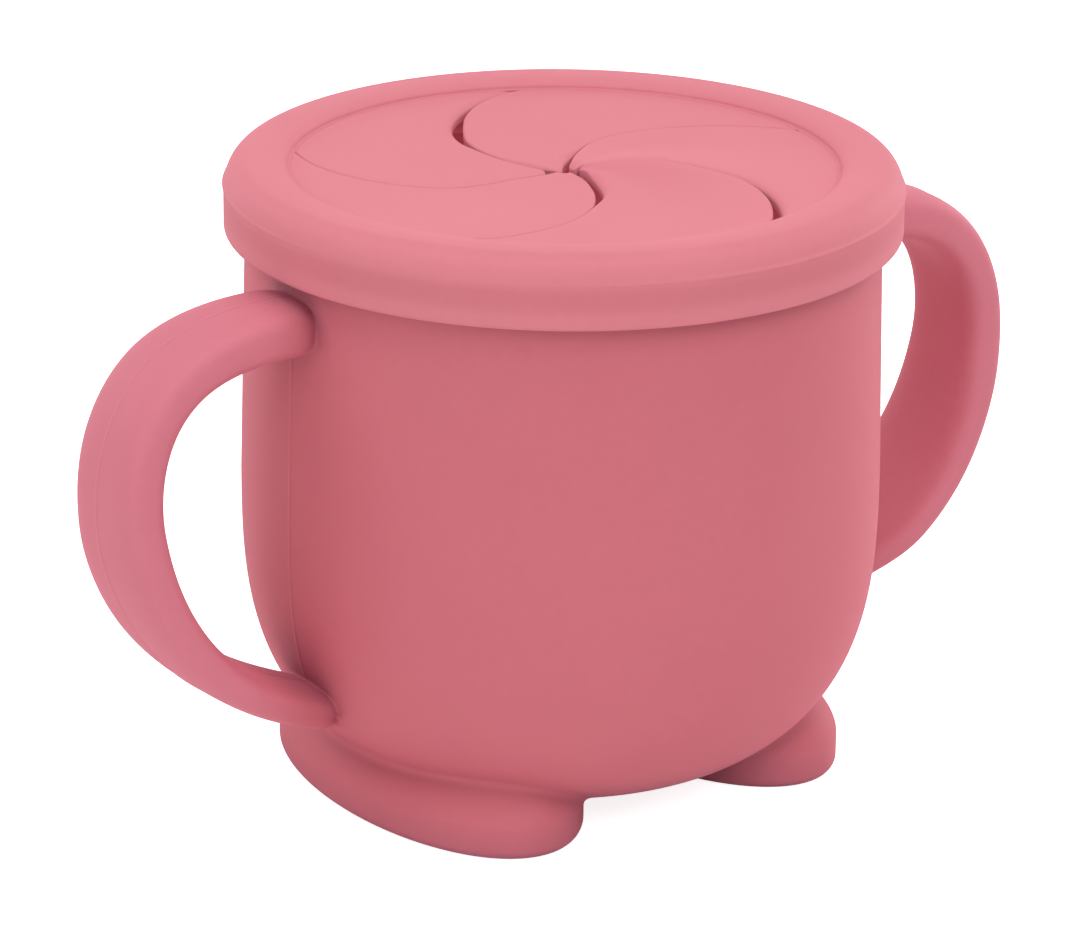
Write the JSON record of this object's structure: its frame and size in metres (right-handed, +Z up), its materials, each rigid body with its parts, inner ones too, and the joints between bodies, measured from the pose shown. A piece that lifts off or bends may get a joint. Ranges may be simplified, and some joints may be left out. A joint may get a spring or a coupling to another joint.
{
  "type": "toddler snack container",
  "caption": "Soft round cup on two oval feet, with a loop handle on each side and a push-on lid whose swirling flaps let a small hand reach in.",
  "frame": {"origin": "on the table, below the middle of the cup", "axes": "+Z up; +X through the two handles, towards the right handle; -Y is the front, where the feet turn outward"},
  "size_m": [0.1436, 0.09, 0.0851],
  "materials": {
    "cup_silicone": "soft matte silicone, dusty rose",
    "lid_silicone": "soft matte silicone, dusty rose"
  },
  "bodies": {
    "cup": {"cup_shell": "cup_silicone", "left_handle": "cup_silicone", "right_handle": "cup_silicone", "left_foot": "cup_silicone", "right_foot": "cup_silicone"},
    "lid": {"lid_ring": "lid_silicone"},
    "petal_1": {"lid_petal_1": "lid_silicone"},
    "petal_2": {"lid_petal_2": "lid_silicone"},
    "petal_3": {"lid_petal_3": "lid_silicone"},
    "petal_4": {"lid_petal_4": "lid_silicone"},
    "petal_5": {"lid_petal_5": "lid_silicone"}
  },
  "joints": [
    {"name": "lid_lift", "type": "slide", "parent": "cup", "child": "lid", "axis": [0, 0, 1], "range_m": [0, 0.06]},
    {"name": "petal_1_bend", "type": "hinge", "parent": "lid", "child": "petal_1", "pos_m": [-0.01187, 0.0258, 0.08305], "axis": [0.9833, 0.1819, 0], "range_deg": [-25, 60], "stiffness_Nm_per_rad": 0.012},
    {"name": "petal_2_bend", "type": "hinge", "parent": "lid", "child": "petal_2", "pos_m": [-0.02821, -0.00332, 0.08305], "axis": [0.1308, 0.9914, 0], "range_deg": [-25, 60], "stiffness_Nm_per_rad": 0.012},
    {"name": "petal_3_bend", "type": "hinge", "parent": "lid", "child": "petal_3", "pos_m": [-0.00556, -0.02785, 0.08305], "axis": [-0.9025, 0.4308, 0], "range_deg": [-25, 60], "stiffness_Nm_per_rad": 0.012},
    {"name": "petal_4_bend", "type": "hinge", "parent": "lid", "child": "petal_4", "pos_m": [0.02477, -0.0139, 0.08305], "axis": [-0.6886, -0.7252, 0], "range_deg": [-25, 60], "stiffness_Nm_per_rad": 0.012},
    {"name": "petal_5_bend", "type": "hinge", "parent": "lid", "child": "petal_5", "pos_m": [0.02087, 0.01926, 0.08305], "axis": [0.4769, -0.879, 0], "range_deg": [-25, 60], "stiffness_Nm_per_rad": 0.012}
  ]
}
